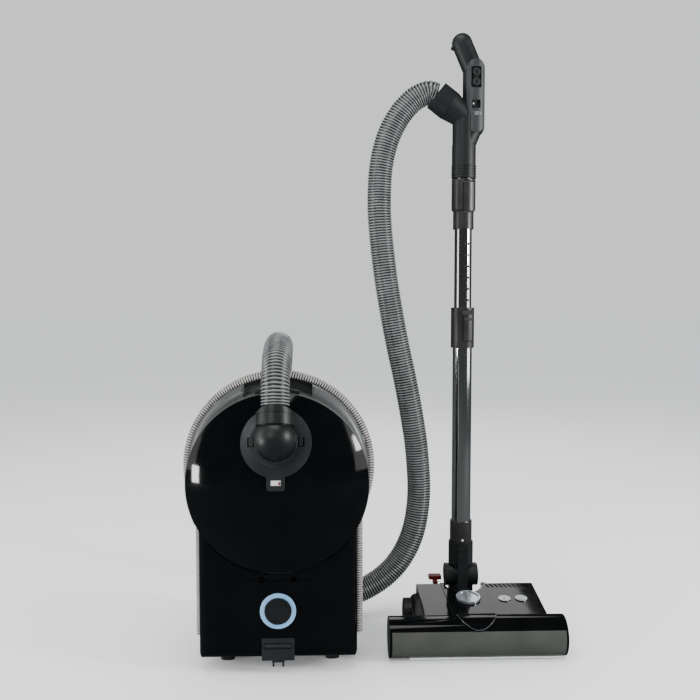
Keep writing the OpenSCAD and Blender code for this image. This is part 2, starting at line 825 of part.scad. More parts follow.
module handle_shell() {
    color("#26292b") at_wand() difference() {
        union() {
            translate([0, 0, handle_z]) cylinder(h = 62, r = 22.3);
            translate([0, 0, handle_z + 55]) cylinder(h = branch_z - handle_z - 56, r = 21.7);
            for (k = [0:4]) translate([0, 0, handle_z + 2 + 5 * k]) cylinder(h = 2.4, r = 23.2);
            capsule([0, handle_z + 60], [handle_x, body_low + 5], body_r - 0.5);
            capsule([handle_x, body_low], [handle_x, body_high], body_r);
            capsule([handle_x, body_high], [-5, grip_top], 19);
            translate([-21, 0, grip_top - 7]) rod_y(-8, 16, 4);
            translate([-1, 0, branch_z]) rotate([0, branch_angle - 90, 0]) {
                cylinder(h = 34, r1 = 21, r2 = 28);
                translate([0, 0, 34]) cylinder(h = branch_l - 35, r = 28);
                sphere(r = 20.5);
            }
        }
        translate([0, 0, handle_z - eps]) cylinder(h = 60, r = upper_r + fit);
        translate([0, 0, handle_z]) cylinder(h = branch_z - handle_z, r = upper_r - tube_wall);
        translate([0, 0, branch_z]) rotate([0, branch_angle - 90, 0]) cylinder(h = 80, r = air_r);
        box([panel_x - 9.4, -30, rocker_z - 19], [panel_x + 9.4, -17.2, rocker_z + 19]);
        box([switch_x - 4.4, -30, brush_z - 7.2], [switch_x + 11.6, -17.2, brush_z + 7.2]);
        translate([0, 0, branch_z]) rotate([0, branch_angle - 90, 0]) translate([0, 0, branch_l])
            cylinder(h = 40, r = 40);
    }
}

module panel_outline() {
    translate([panel_x - panel_half, panel_low + panel_half])
        square([2 * panel_half, panel_high - panel_low - 2 * panel_half]);
    for (z = [panel_low + panel_half, panel_high - panel_half]) translate([panel_x, z]) circle(r = panel_half);
}

module control_panel() {
    color("#5a6062") at_wand() difference() {
        intersection() {
            translate([handle_x, 0, body_low - 60]) difference() {
                cylinder(h = 220, r = panel_r);
                cylinder(h = 220, r = body_r + skin_gap);
            }
            plate_y(-40, 36) panel_outline();
        }
        capsule([0, handle_z + 60], [handle_x, body_low + 5], body_r + skin_gap);
        capsule([handle_x, body_high], [-5, grip_top], 19 + skin_gap);
        translate([0, 0, handle_z]) cylinder(h = branch_z - handle_z, r = 22.3 + skin_gap);
        translate([-1, 0, branch_z]) rotate([0, branch_angle - 90, 0]) {
            sphere(r = 20.5 + skin_gap);
            cylinder(h = 34, r1 = 21 + skin_gap, r2 = 28 + skin_gap);
        }
        box([panel_x - 9.4, -30, rocker_z - 19], [panel_x + 9.4, -5, rocker_z + 19]);
        box([switch_x - 4.4, -30, brush_z - 7.2], [switch_x + 11.6, -5, brush_z + 7.2]);
    }
}

module power_rocker() {
    color("#2f3334") at_wand() plate_y(-23.4, 4) {
        for (z = [-9, 9]) translate([panel_x, rocker_z + z]) circle(r = 7.4);
        translate([panel_x - 4.6, rocker_z - 9]) square([9.2, 18]);
    }
}

module brush_switch() {
    color("#e4e4e2") at_wand() box([switch_x - 4, -23.2, brush_z - switch_h / 2], [switch_x + 4, -19.4, brush_z + switch_h / 2]);
}

module turned() {
    at_wand() rotate([0, 0, wand_turn]) children();
}

module upper_collar() {
    color("#2c2f31") difference() {
        at_wand() {
            translate([0, 0, handle_z - 58]) cylinder(h = 56, r = 22.4);
            translate([0, 0, handle_z - 62]) cylinder(h = 4.1, r1 = 19.3, r2 = 22.4);
            translate([0, 0, handle_z - 94]) cylinder(h = 40, r = 19.3);
        }
        at_wand() translate([0, 0, handle_z - 100]) cylinder(h = 110, r = upper_r + fit);
        turned() box([-11, -30, handle_z - 64], [11, -18, handle_z - 5]);
    }
}

module handle_button() {
    color("#33373a") turned() intersection() {
        translate([0, 0, handle_z - 61]) cylinder(h = 53, r = 25.2);
        box([-10.2, -30, handle_z - 61], [10.2, -19.4, handle_z - 8]);
    }
}

module upper_tube() {
    color("#c9ccce") difference() {
        at_wand() translate([0, 0, sleeve_top - 200]) cylinder(h = handle_z - sleeve_top + 258, r = upper_r);
        at_wand() translate([0, 0, sleeve_top - 201]) cylinder(h = handle_z - sleeve_top + 270, r = upper_r - tube_wall);
        for (k = [0:9]) turned() {
            box([-8, -upper_r - eps, sleeve_top + 119 - notch_pitch * k - 2],
                [8, -upper_r + 1, sleeve_top + 119 - notch_pitch * k + 2]);
        }
    }
}

module telescope_sleeve() {
    color("#2c2f31") difference() {
        at_wand() translate([0, 0, sleeve_top - sleeve_h]) cylinder(h = sleeve_h, r = sleeve_r);
        at_wand() translate([0, 0, sleeve_top - sleeve_h - eps]) cylinder(h = sleeve_h - 9, r = lower_r + fit);
        at_wand() translate([0, 0, sleeve_top - 20]) cylinder(h = 30, r = upper_r + fit);
        turned() box([-9, -40, sleeve_top - 64], [9, -slider_in + 0.4, sleeve_top - 5]);
    }
}

module telescope_slider() {
    color("#33373a") turned() intersection() {
        translate([0, 0, sleeve_top - 62]) cylinder(h = 49, r = slider_in + 5.4);
        difference() {
            box([-8.4, -40, sleeve_top - 62], [8.4, -slider_in, sleeve_top - 13]);
            box([-9, -40, sleeve_top - 24], [9, -slider_in - 3.8, sleeve_top - 20]);
        }
    }
}

module lower_tube() {
    color("#c9ccce") at_wand() translate([0, 0, neck_top - 25]) difference() {
        cylinder(h = sleeve_top - neck_top + 14, r = lower_r);
        translate([0, 0, -eps]) cylinder(h = sleeve_top, r = upper_r + slip);
    }
}

module lower_collar() {
    color("#2c2f31") at_wand() translate([0, 0, neck_top + 0.4]) difference() {
        cylinder(h = 40, r = lower_r + 2.8);
        translate([0, 0, -eps]) cylinder(h = 44, r = lower_r + fit);
    }
}

module neck() {
    color("#2c2f31") at_wand() difference() {
        union() {
            translate([0, 0, neck_low]) cylinder(h = neck_top - neck_low, r = neck_r);
            translate([0, 0, tilt_z]) rod_x(-tongue_w, 2 * tongue_w, tongue_r);
            box([-tongue_w, -16, tilt_z], [tongue_w, 16, neck_low + 1]);
        }
        translate([0, 0, neck_top - 26]) cylinder(h = 40, r = lower_r + fit);
        translate([0, 0, tilt_z]) rod_x(-tongue_w - eps, 2 * tongue_w + 2 * eps, axle_r + fit);
    }
}

// Release lever with two finger ridges, running down in front of the neck's hinge
module neck_lever() {
    color("#33373a") at_wand() {
        box([-9.6, -28.4, 50], [9.6, -24.2, 149]);
        box([-9.6, -31, 126], [9.6, -28, 130]);
        box([-9.6, -31, 142], [9.6, -28, 147]);
    }
}

module neck_yoke() {
    color("#232628") at_wand() {
        mirrored() {
            translate([0, 0, tilt_z]) rod_x(tongue_w + yoke_gap, yoke_w - tongue_w - yoke_gap, tongue_r - 0.2);
            box([tongue_w + yoke_gap, -12, disc_top - 1], [22, 12, tilt_z]);
        }
        translate([0, 0, tilt_z]) rod_x(-yoke_w + 1, 2 * yoke_w - 2, axle_r);
        translate([0, 0, disc_z]) cylinder(h = disc_top - disc_z, r = disc_r);
        difference() {
            translate([0, 0, disc_top - 1]) cylinder(h = 27, r1 = 25, r2 = 20);
            box([-10.4, -30, 49.4], [10.4, -20.2, 90]);
        }
        translate([0, 0, disc_z - 11]) cylinder(h = 12, r = spigot_r);
    }
}

// ---- Power head ----

// The head's cover seen from the side: a slope that runs over a round crest into the rear wall
module cover_outline(grow) {
    r = crest_r + grow;
    top = cover_front_z + grow / cos(slope);
    polygon([
        [cover_front - 8, 0], [cover_front - 8, top - 8 * tan(slope)],
        [crest_y - r * sin(slope), crest_axis_z + r * cos(slope)],
        for (a = [7.5:7.5:90]) [crest_y + r * sin(a - slope * (1 - a / 90)), crest_axis_z + r * cos(a - slope * (1 - a / 90))],
        [crest_y + r, 0]
    ]);
}

module nose_outline(grow) {
    translate([nose_y, nose_z]) circle(r = nose_r + grow);
}

// The well behind the knob that the neck stands in, seen from above
module neck_well(grow) {
    translate([0, well_front + well_w]) circle(r = well_w + grow);
    translate([-well_w - grow, well_front + well_w]) square([2 * (well_w + grow), 100]);
}

module head_base() {
    color("#232628") at_head() difference() {
        union() {
            difference() {
                box([cover_left, 0, 4], [cover_right, crest_y + crest_r, base_top]);
                box([cover_left + 3, -eps, 8], [cover_right - 3, crest_y + crest_r - 3, base_top + eps]);
            }
            intersection() {
                translate([0, 0, 4]) linear_extrude(62) difference() {
                    neck_well(2.4);
                    neck_well(0);
                }
                box([-60, 0, 0], [60, crest_y + crest_r - 3.5, 200]);
                plate_x(-60, 120) cover_outline(-5);
            }
            translate([0, wand_back, 5]) cylinder(h = 21, r = tail_r);
            box([-tail_r, crest_y, 5], [tail_r, wand_back, 26]);
            difference() {
                intersection() {
                    plate_y(24, 94) polygon([[-104, 6], [-104, 55], [-101.5, 62], [-97, 66.5], [cover_left - skin_gap, 69],
                        [cover_left - skin_gap, base_top - 1], [cover_left + 1, base_top - 1], [cover_left + 1, 6]]);
                    plate_x(-120, 60) cover_outline(-1);
                }
                box([-101, 0, 9], [cover_left - 3, 115, 54]);
            }
            intersection() {
                for (k = [0:8]) translate([-104, 30 + 10 * k, 6]) cylinder(h = 52, r = 3);
                plate_x(-120, 60) cover_outline(-5);
            }
            translate([0, 96, 37]) rod_x(-117, 14, 29);
            for (x = [-56, -41]) {
                box([x, crest_y, 5], [x + 4, pedal_axis_y, pedal_axis_z + 5]);
                translate([0, pedal_axis_y, pedal_axis_z]) rod_x(x, 4, 5);
            }
            translate([0, pedal_axis_y, pedal_axis_z]) rod_x(-56, 19, 2);
        }
        plate_x(-200, 400) nose_outline(skin_gap);
        translate([0, wand_back, disc_z - 12]) cylinder(h = 30, r = spigot_r + fit);
        translate([0, wand_back, disc_z - slip]) cylinder(h = 40, r = disc_r + slip);
        translate([0, head_wheel_y, head_wheel_r]) rod_x(-80, 160, 2.5 + fit);
        translate([0, motor_axis_y, nose_z]) rod_x(-92, 10, 9.5);
    }
}

module head_cover() {
    color("#0c0e10") difference() {
        at_head() difference() {
            plate_x(cover_left, cover_right - cover_left) cover_outline(0);
            plate_x(cover_left + 3, cover_right - cover_left - 6) cover_outline(-3);
            box([-200, -100, -eps], [200, 250, base_top + 0.1]);
            plate_x(-200, 400) nose_outline(skin_gap);
            translate([0, 0, 30]) linear_extrude(80) neck_well(2.5);
            translate([0, motor_axis_y, nose_z]) rod_x(-92, 10, 9.5);
            for (k = [0:vent_count - 1]) translate([42 + 8.4 * k, crest_y - 2, 60]) rotate([0, 0, 22])
                translate([-1.6, -14, 0]) cube([3.2, 34, 40]);
        }
        at_slope(0, knob_y) translate([0, 0, -20]) cylinder(h = 40, r = 8 + fit);
        for (x = light_x) at_slope(x, knob_y) translate([0, 0, -20]) cylinder(h = 40, r = light_r + fit);
    }
}

// Glossy centre piece: wide at the back, with a round tip that laps over the nose
module centre_outline() {
    polygon([[-43, crest_y + 8], [-34, nose_y + 4], [34, nose_y + 4], [43, crest_y + 8]]);
    translate([0, nose_y + 4]) circle(r = 34);
}

module centre_cover() {
    color("#101214") difference() {
        at_head() intersection() {
            plate_x(-50, 100) difference() {
                union() {
                    cover_outline(1.8);
                    nose_outline(1.8);
                }
                cover_outline(skin_gap);
                nose_outline(skin_gap);
                translate([-200, -100]) square([400, 100 + 30]);
            }
            translate([0, 0, 10]) linear_extrude(100) difference() {
                centre_outline();
                neck_well(2.5);
            }
        }
        at_slope(0, knob_y) translate([0, 0, -20]) cylinder(h = 40, r = knob_r + 1);
    }
}

// Part of the nose's tube between two angles, measured from its top towards the front
module nose_arc(from, to, left, right) {
    translate([left, nose_y, nose_z]) rotate([0, 90, 0]) rotate([0, 0, 180 + from]) rotate_extrude(angle = to - from)
        translate([nose_r - nose_wall, 0]) square([nose_wall, right - left]);
}

module nose_cover() {
    color("#0c0e10") at_head() {
        difference() {
            nose_arc(-lip_rear, seam_angle, -nose_w / 2 + 1, nose_w / 2 - 1);
            box([belt_x - 1, 0, 8], [belt_x + belt_w + 1, 60, 56]);
        }
        translate([0, nose_y, nose_z]) {
            rod_x(-nose_w / 2, 4, nose_r - 0.4);
            rod_x(nose_w / 2 - 4, 4, nose_r - 0.4);
        }
    }
}

module nose_front_shell() {
    color("#50575a") at_head() nose_arc(seam_angle + 0.3, lip_front, -nose_w / 2 + 4.1, nose_w / 2 - 4.1);
}

module height_knob() {
    color("#aeb3b5") at_slope(0, knob_y) {
        translate([0, 0, 2.1]) difference() {
            cylinder(h = 4.4, r = knob_r);
            translate([0, 0, 2.4]) cylinder(h = 4, r = knob_r - 3);
        }
        translate([-3, -knob_r + 2, 2.1]) cube([6, 2 * knob_r - 4, 4.4]);
        translate([0, 0, -6]) cylinder(h = 9, r = 8);
    }
}

module head_lights() {
    color("#c9ccce") for (x = light_x) at_slope(x, knob_y) translate([0, 0, -2]) cylinder(h = 3.4, r = light_r);
}

module brush_roller() {
    color("#6a2a20") at_head() translate([0, nose_y, brush_z0]) {
        rod_x(-nose_w / 2 + 5, nose_w - 10, 5);
        rod_x(belt_x + belt_w + 4, nose_w / 2 - 14 - belt_x - belt_w - 4, 19);
        rod_x(-nose_w / 2 + 14, nose_w / 2 - 18 + belt_x, 19);
        rod_x(belt_x - 0.5, belt_w + 1, pulley_r - 0.2);
        for (a = [0, 90, 180, 270]) rotate([a, 0, 0]) {
            box([belt_x + belt_w + 4, -2, 0], [nose_w / 2 - 14, 2, brush_r]);
            box([-nose_w / 2 + 14, -2, 0], [belt_x - 4, 2, brush_r]);
        }
    }
}

module head_motor() {
    color("#8d9295") at_head() translate([0, motor_axis_y, nose_z]) {
        rod_x(-80, 42, 23);
        rod_x(belt_x, -80 - belt_x + 1, 4);
        rod_x(belt_x, belt_w, motor_pulley_r - 0.2);
    }
}

module belt_outline(grow) {
    hull() {
        translate([nose_y, brush_z0]) circle(r = pulley_r + grow, $fn = 32);
        translate([motor_axis_y, nose_z]) circle(r = motor_pulley_r + grow, $fn = 32);
    }
}

module drive_belt() {
    color("#1b1d1f") at_head() plate_x(belt_x + 0.5, belt_w - 1) difference() {
        belt_outline(1.8);
        belt_outline(0.3);
    }
}

module release_pedal() {
    color("#5a1512") at_head() difference() {
        union() {
            box([pedal_x, wand_back + 20, 70], [pedal_x + 24, wand_back + pedal_back, 77]);
            box([-50.5, pedal_axis_y - 5, pedal_axis_z], [-42.5, pedal_axis_y + 5, 66]);
            box([-50.5, pedal_axis_y - 5, 62], [-42.5, wand_back + 30, 71]);
            translate([0, pedal_axis_y, pedal_axis_z]) rod_x(-50.5, 8, 5);
        }
        translate([0, pedal_axis_y, pedal_axis_z]) rod_x(-52, 12, 2 + fit);
    }
}

module head_wheels() {
    color("#33373a") at_head() translate([0, head_wheel_y, head_wheel_r]) {
        mirrored() rod_x(62, 11, head_wheel_r);
        rod_x(-64, 128, 2.5);
    }
}

base_shell();
top_frame();
rear_cover();
dust_lid();
lid_hinge_pin();
lid_latch();
carry_handle();
bumper_band();
dust_bag();
bag_collar();
motor_filter();
motor_housing();
fan_motor();
impeller();
exhaust_filter();
cable_reel();
switch_button();
light_ring();
rewind_lever();
cord_grommet();
wheel_left();
wheel_right();
caster_fork_left();
caster_fork_right();
caster_wheel_left();
caster_wheel_right();
stand_feet();
elbow_collar();
indicator_window();
hose_elbow();
elbow_clip_left();
elbow_clip_right();
hose_sleeve();
hose();
handle_shell();
control_panel();
power_rocker();
brush_switch();
upper_collar();
handle_button();
upper_tube();
telescope_sleeve();
telescope_slider();
lower_tube();
lower_collar();
neck();
neck_lever();
neck_yoke();
head_base();
head_cover();
centre_cover();
nose_cover();
nose_front_shell();
height_knob();
head_lights();
brush_roller();
head_motor();
drive_belt();
release_pedal();
head_wheels();
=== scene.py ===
# %% [markdown]
# # A canister vacuum cleaner, dressed over its CAD frame
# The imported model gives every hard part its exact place. This lesson adds what CAD leaves out: the camera and
# lights, the corrugated hose and bumper, moulded and polished finishes, and the small marks a maker prints on.
# The file reads nothing from disk except the frame.

# %% Load the frame
import math

import bpy
import numpy as np
from mathutils import Matrix, Vector


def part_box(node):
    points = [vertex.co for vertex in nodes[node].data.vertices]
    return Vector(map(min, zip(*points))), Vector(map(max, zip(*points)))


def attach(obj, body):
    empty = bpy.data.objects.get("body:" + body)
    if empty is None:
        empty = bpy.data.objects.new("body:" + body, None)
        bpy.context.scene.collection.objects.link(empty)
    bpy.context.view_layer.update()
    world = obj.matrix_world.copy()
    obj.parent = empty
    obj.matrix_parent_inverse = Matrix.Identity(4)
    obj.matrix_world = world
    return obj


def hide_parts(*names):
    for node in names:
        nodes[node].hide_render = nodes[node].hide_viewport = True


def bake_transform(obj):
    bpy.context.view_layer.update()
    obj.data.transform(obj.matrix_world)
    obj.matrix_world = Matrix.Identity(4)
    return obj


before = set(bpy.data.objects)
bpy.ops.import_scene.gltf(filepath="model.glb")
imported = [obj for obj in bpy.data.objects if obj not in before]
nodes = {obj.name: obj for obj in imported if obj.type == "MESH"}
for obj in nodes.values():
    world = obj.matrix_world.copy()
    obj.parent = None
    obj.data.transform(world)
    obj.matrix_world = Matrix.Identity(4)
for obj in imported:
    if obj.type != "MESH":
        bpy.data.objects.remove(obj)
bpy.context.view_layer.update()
bpy.ops.object.select_all(action="DESELECT")

# %% [markdown]
# ## Where things are
# Sizes below are in millimetres from two handy points: the floor under the middle of the canister, and the axis
# of the wand. Both come from the boxes of CAD nodes, so nothing has to be fitted by eye.

# %% Places
band_low, band_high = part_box("bumper_band")
tube_low, tube_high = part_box("lower_tube")
CANISTER = Vector(((band_low.x + band_high.x) / 2, (band_low.y + band_high.y) / 2, 0))
WAND = Vector(((tube_low.x + tube_high.x) / 2, (tube_low.y + tube_high.y) / 2, 0))
MM = 0.001


def by_canister(x, y, z):
    return CANISTER + Vector((x, y, z)) * MM


def by_head(x, y, z):
    return Vector((WAND.x, CANISTER.y, 0)) + Vector((x, y, z)) * MM


print("canister at", CANISTER, "wand at", WAND)

# %% [markdown]
# ## Camera
# A catalogue view: the camera stands a metre and a half in front, a little above the middle, and looks slightly
# down. A longish lens keeps the tall wand straight. Depth of field stays off, so every part is sharp.

# %% Camera
camera = bpy.data.objects.new("camera", bpy.data.cameras.new("camera"))
bpy.context.scene.collection.objects.link(camera)
camera.location = (-0.0945, -1.4507, 0.6213)
camera.rotation_euler = (math.radians(86.44), 0, math.radians(-1.99))
camera.data.lens = 43.58
camera.data.sensor_width = 36
bpy.context.scene.camera = camera

# %% [markdown]
# ## The hose's route
# A corrugated suction hose is a fixed length of flexible tube. It leaves the elbow's sleeve upwards, bends over
# the top of the canister, hangs down behind it, lies along the floor and climbs to the socket in the handle.
# The route's points are joined by a smooth curve that passes through each of them, and the curve is then cut into
# equal steps, so that every rib gets the same length.

# %% Route
HOSE_D = 46
ELBOW = (0, -136.764, 403.398)
UP_THE_SLEEVE = (0, 0.305832, 0.95208)
SLEEVE_LENGTH = 50.5
HOSE_START = [ELBOW[i] + SLEEVE_LENGTH * UP_THE_SLEEVE[i] for i in range(3)]
SOCKET = (340, 166, 957)
SOCKET_RISE = math.radians(38)
SOCKET_WAY = (-math.cos(SOCKET_RISE), 0, math.sin(SOCKET_RISE))
ROUTE = [
    HOSE_START,
    [0, -111, 488], [0, -86, 518], [0, -45, 535], [0, 2, 540], [0, 48, 536],
    [-2, 92, 521], [-5, 126, 490], [-9, 146, 444], [-16, 154, 392], [-26, 158, 335],
    [-36, 162, 275], [-42, 165, 215], [-40, 168, 158], [-24, 171, 105], [10, 174, 64],
    [58, 177, 43], [110, 180, 42], [160, 184, 57], [212, 186, 96], [245, 186, 152],
    [260, 186, 228], [256, 185, 326], [246, 184, 394], [233, 182, 462], [218, 180, 530],
    [205, 178, 597], [194, 176, 663], [186, 174, 729], [182, 172, 778], [182, 172, 823],
    [185, 171, 866], [194, 170, 908], [208, 169, 942], [227, 168, 971], [249, 167, 992],
    [SOCKET[0] + 82 * SOCKET_WAY[0] - 3, SOCKET[1], SOCKET[2] + 82 * SOCKET_WAY[2] - 6],
    [SOCKET[0] + 66 * SOCKET_WAY[0], SOCKET[1], SOCKET[2] + 66 * SOCKET_WAY[2]],
]


def smooth_path(points, step):
    """A curve through every point, cut into equal steps."""
    p = np.array([points[0]] + list(points) + [points[-1]], float)
    p[0] = 2 * p[1] - p[2]
    p[-1] = 2 * p[-2] - p[-3]
    fine = []
    for a, b, c, d in zip(p, p[1:], p[2:], p[3:]):
        lengths = [np.linalg.norm(v) ** 0.5 for v in (b - a, c - b, d - c)]
        t0, t1 = 0, lengths[0]
        t2 = t1 + lengths[1]
        t3 = t2 + lengths[2]
        for t in np.linspace(t1, t2, 24, endpoint=False):
            a1 = (t1 - t) / (t1 - t0) * a + (t - t0) / (t1 - t0) * b
            a2 = (t2 - t) / (t2 - t1) * b + (t - t1) / (t2 - t1) * c
            a3 = (t3 - t) / (t3 - t2) * c + (t - t2) / (t3 - t2) * d
            b1 = (t2 - t) / (t2 - t0) * a1 + (t - t0) / (t2 - t0) * a2
            b2 = (t3 - t) / (t3 - t1) * a2 + (t - t1) / (t3 - t1) * a3
            fine.append((t2 - t) / (t2 - t1) * b1 + (t - t1) / (t2 - t1) * b2)
    fine = np.array(fine + [p[-2]])
    run = np.concatenate([[0], np.cumsum(np.linalg.norm(np.diff(fine, axis=0), axis=1))])
    at = np.linspace(0, run[-1], round(run[-1] / step) + 1)
    return np.stack([np.interp(at, run, fine[:, i]) for i in range(3)], 1), run[-1]


RIB_PITCH = 5
RINGS_PER_RIB = 4
centres, hose_length = smooth_path(ROUTE, RIB_PITCH / RINGS_PER_RIB)
print("hose length", round(hose_length), "mm,", len(centres), "rings")

# %% [markdown]
# ## Sweeping a ribbed skin
# Hose and bumper are both a closed outline carried along a path while its size rises and falls once per rib. One
# function builds that skin from rows of points, caps both ends, and stores how high each point sits on its rib,
# which the finish uses later to paint shade into the grooves and a highlight onto the ribs.

# %% Sweep
def swept(name, centres, sides, ups, outline, crest):
    """outline(k, height) gives (side, up) points in mm for ring k; crest[k] is 0 in a groove and 1 on a rib."""
    rings = []
    for k, centre in enumerate(centres):
        ring = outline(k, crest[k])
        rings.append(centre + ring[:, :1] * sides[k] + ring[:, 1:] * ups[k])
    n = len(rings[0])
    points = np.concatenate(rings + [centres[:1], centres[-1:]]) * MM + np.array(CANISTER)
    faces = []
    for k in range(len(rings) - 1):
        a, b = k * n, (k + 1) * n
        faces += [(a + i, a + (i + 1) % n, b + (i + 1) % n, b + i) for i in range(n)]
    first, last, top = len(rings) * n, len(rings) * n + 1, (len(rings) - 1) * n
    faces += [(first, (i + 1) % n, i) for i in range(n)]
    faces += [(last, top + i, top + (i + 1) % n) for i in range(n)]
    mesh = bpy.data.meshes.new(name)
    mesh.from_pydata([tuple(p) for p in points], [], faces)
    height = mesh.attributes.new("crest", "FLOAT", "POINT")
    height.data.foreach_set("value", np.append(np.repeat(crest, n), [0, 0]).astype(np.float32))
    piece = bpy.data.objects.new(name, mesh)
    bpy.context.scene.collection.objects.link(piece)
    bpy.ops.object.select_all(action="DESELECT")
    bpy.context.view_layer.objects.active = piece
    piece.select_set(True)
    bpy.ops.object.mode_set(mode="EDIT")
    bpy.ops.mesh.select_all(action="SELECT")
    bpy.ops.mesh.normals_make_consistent(inside=False)
    bpy.ops.object.mode_set(mode="OBJECT")
    bpy.ops.object.shade_smooth()
    piece.select_set(False)
    print(name, len(mesh.polygons), "faces")
    return piece


def carried_frames(centres):
    """Side and up directions that turn no more than the path does."""
    way = np.gradient(centres, axis=0)
    way /= np.linalg.norm(way, axis=1)[:, None]
    side = np.cross(way[0], [1, 0, 0])
    sides = []
    for w in way:
        side = side - w * side.dot(w)
        side /= np.linalg.norm(side)
        sides.append(side)
    sides = np.array(sides)
    return sides, np.cross(way, sides)


# %% [markdown]
# ## The hose
# The hose is split where it lies on top of the canister, into a short front end and the long rest, and both are
# baked in place. Blown polyethylene hose has round crests and tighter grooves, about 5 mm apart.

# %% Hose pieces
GROOVE_DEPTH = 2.4
HOSE_SIDES = 22
hose_sides, hose_ups = carried_frames(centres)
phase = np.arange(len(centres)) % RINGS_PER_RIB
hose_crest = np.array([0.0, 0.72, 1.0, 0.72])[phase]
circle = np.linspace(0, 2 * math.pi, HOSE_SIDES, endpoint=False)
round_outline = np.stack([np.cos(circle), np.sin(circle)], 1)


def hose_outline(k, height):
    return round_outline * (HOSE_D / 2 - GROOVE_DEPTH * (1 - height))


def hose_piece(name, first, last):
    part = slice(first, last)
    return swept(name, centres[part], hose_sides[part], hose_ups[part], hose_outline, hose_crest[part])


FRONT_LENGTH = 130
front_end = RINGS_PER_RIB * round(FRONT_LENGTH / RIB_PITCH)
hose_front = hose_piece("hose_front", 0, front_end + 1)
hose_long = hose_piece("hose_long", front_end, len(centres))
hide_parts("hose")
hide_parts("hose")
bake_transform(hose_front)
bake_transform(hose_long)

# %% [markdown]
# ## The bumper
# The bumper is a soft belt of air-filled ribs that runs up one side of the canister, round its nose and down the
# other side. Its path follows the body's outline, with the two inner corners eased, as a bent belt does.

# %% Bumper
BODY_HALF, NOSE_R, NOSE_Z, BELT_END_Z = 131, 151, 336.5, 47
BELT_T, BELT_W, BELT_PITCH = 11.3, 32, 4.2
corner_z = NOSE_Z - math.sqrt(NOSE_R ** 2 - BODY_HALF ** 2)
turn = math.atan2(corner_z - NOSE_Z, BODY_HALF)
arc = [
    [NOSE_R * math.cos(a), 0, NOSE_Z + NOSE_R * math.sin(a)]
    for a in np.linspace(turn, math.pi - turn, 90)
]
belt_points = [[BODY_HALF, 0, z] for z in np.linspace(BELT_END_Z, corner_z, 30, endpoint=False)]
belt_points += arc + [[-x, y, z] for x, y, z in belt_points[::-1]]
belt_centres = smooth_path(belt_points, BELT_PITCH / RINGS_PER_RIB)[0]
EASE = 7
even_weights = np.ones(2 * EASE + 1) / (2 * EASE + 1)
padded_ends = np.concatenate([belt_centres[:1].repeat(EASE, 0), belt_centres, belt_centres[-1:].repeat(EASE, 0)])
eased = np.stack([np.convolve(padded_ends[:, i], even_weights, "valid") for i in range(3)], 1)
eased[:EASE], eased[-EASE:] = belt_centres[:EASE], belt_centres[-EASE:]
belt_way = np.gradient(eased, axis=0)
belt_way /= np.linalg.norm(belt_way, axis=1)[:, None]
belt_across = np.tile([0.0, 1.0, 0.0], (len(eased), 1))
belt_out = np.cross(belt_across, belt_way)
if (belt_out[0] * [1, 0, 0]).sum() < 0:
    belt_out = -belt_out
belt_crest = np.array([0.0, 0.8, 1.0, 0.8])[np.arange(len(eased)) % RINGS_PER_RIB]
half = BELT_W / 2
BELT_OUTLINE = np.array([
    [-half, 0.4], [-half, 5], [-half + 1.2, 8.2], [-half + 3.6, 10.3], [-half + 7, BELT_T], [-5, BELT_T],
    [5, BELT_T], [half - 7, BELT_T], [half - 3.6, 10.3], [half - 1.2, 8.2], [half, 5], [half, 0.4],
])


BELT_GROOVE = 2.3


def belt_outline(k, height):
    ring = BELT_OUTLINE.copy()
    sink = BELT_GROOVE * (1 - height)
    ring[:, 1] = np.where(ring[:, 1] > 1, ring[:, 1] - sink, ring[:, 1])
    ring[:, 0] = ring[:, 0] - np.sign(ring[:, 0]) * np.where(np.abs(ring[:, 0]) > 12, sink, 0)
    return ring


bumper_ribs = swept("bumper_ribs", eased, belt_across, belt_out, belt_outline, belt_crest)
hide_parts("bumper_band")
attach(bumper_ribs, "canister")

# %% [markdown]
# ## Small pieces
# A print, a lens or a felt strip starts as one primitive at its real size and is shaped in edit mode. The helper
# below deselects everything, adds the primitive, and the next one bakes its place into the mesh and lets it ride.

# %% Helpers for small pieces
def new_piece(name, primitive, **how):
    bpy.ops.object.select_all(action="DESELECT")
    getattr(bpy.ops.mesh, "primitive_" + primitive)(**how)
    piece = bpy.context.object
    piece.name = piece.data.name = name
    return piece


def bevelled(piece, width_mm, segments=2):
    bevel = piece.modifiers.new("edge", "BEVEL")
    bevel.width = width_mm * MM
    bevel.segments = segments
    bpy.ops.object.modifier_apply(modifier=bevel.name)


def settle(piece, matrix, body, smooth=40):
    """Bake a placement into the mesh, so the object itself stays at the origin."""
    bpy.ops.object.transform_apply(location=True, rotation=True, scale=True)
    piece.data.transform(matrix)
    bpy.ops.object.shade_smooth_by_angle(angle=math.radians(smooth))
    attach(piece, body)
    piece.select_set(False)
    return piece


def block(name, size_mm, place, body, edge=0.4, turn=Matrix.Identity(4)):
    piece = new_piece(name, "cube_add", size=1)
    piece.scale = [s * MM for s in size_mm]
    bpy.ops.object.transform_apply(location=False, rotation=False, scale=True)
    bevelled(piece, edge)
    return settle(piece, Matrix.Translation(place) @ turn, body)


# %% [markdown]
# ### Lamp lenses
# Each lamp is a clear polycarbonate lens over a silvered cup. A disc inset ring by ring, with every other ring
# raised, gives the concentric steps that catch the light.

# %% Lamp lenses
SLOPE_FOOT, SLOPE_CREST = (20, 59.2), (138, 77.7)
SLOPE = math.atan((SLOPE_CREST[1] - SLOPE_FOOT[1]) / (SLOPE_CREST[0] - SLOPE_FOOT[0]))


